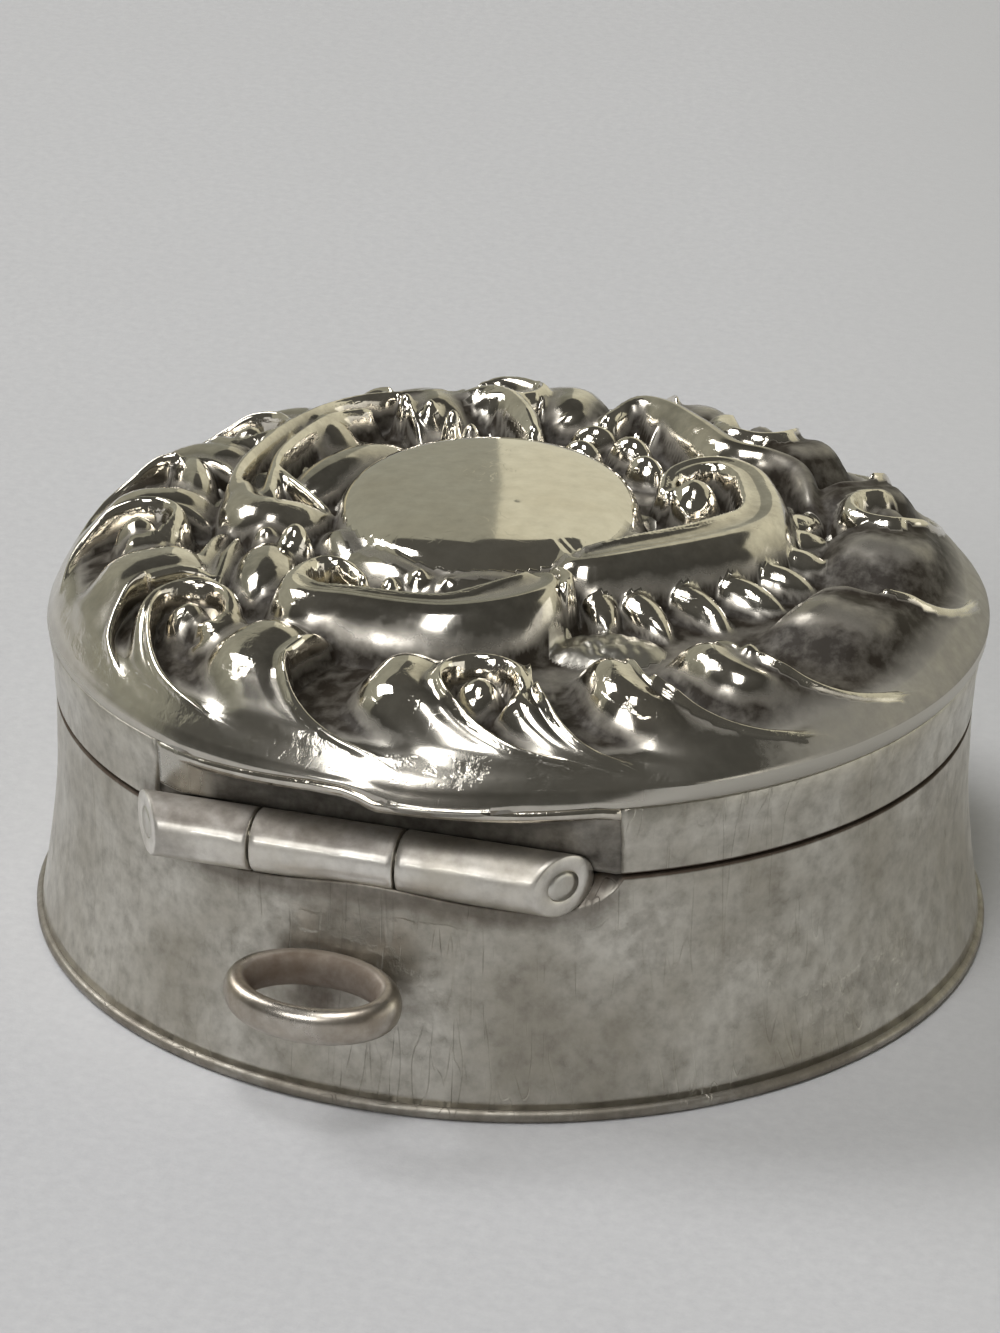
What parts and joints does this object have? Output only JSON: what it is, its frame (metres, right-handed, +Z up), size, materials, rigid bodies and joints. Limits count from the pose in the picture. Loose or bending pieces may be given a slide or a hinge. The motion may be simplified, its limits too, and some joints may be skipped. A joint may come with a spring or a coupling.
{
  "type": "trinket box",
  "caption": "Small round silver box with a waisted wall, an embossed scroll-work lid on a tube hinge, and a hanging loop below the hinge.",
  "frame": {"origin": "middle of the flat underside of the floor disc", "axes": "+Z up through the lid, +Y towards the hinge and the hanging loop, -Y towards the thumb lip"},
  "size_m": [0.0384, 0.0417, 0.0177],
  "materials": {
    "satin_silver": "worn satin silver with fine scratches",
    "polished_silver": "polished silver with warm tarnish in the hollows",
    "hinge_silver": "rubbed silver tube",
    "pin_silver": "filed silver wire",
    "loop_silver": "rubbed silver with a warm tint",
    "inner_silver": "soft bright silver"
  },
  "bodies": {
    "base": {"base_floor": "satin_silver", "base_wall": "satin_silver", "inner_bezel": "inner_silver", "base_hinge_bearer": "satin_silver", "base_knuckle_left": "hinge_silver", "base_knuckle_right": "hinge_silver", "hinge_pin": "pin_silver", "hanging_loop": "loop_silver"},
    "lid": {"lid_band": "satin_silver", "lid_top": "polished_silver", "lid_hinge_bearer": "satin_silver", "lid_knuckle": "hinge_silver", "thumb_lip": "hinge_silver"}
  },
  "joints": [
    {"name": "lid_hinge", "type": "hinge", "parent": "base", "child": "lid", "pos_m": [0, 0.0171, 0.0096], "axis": [-1, 0, 0], "range_deg": [0, 115]}
  ]
}
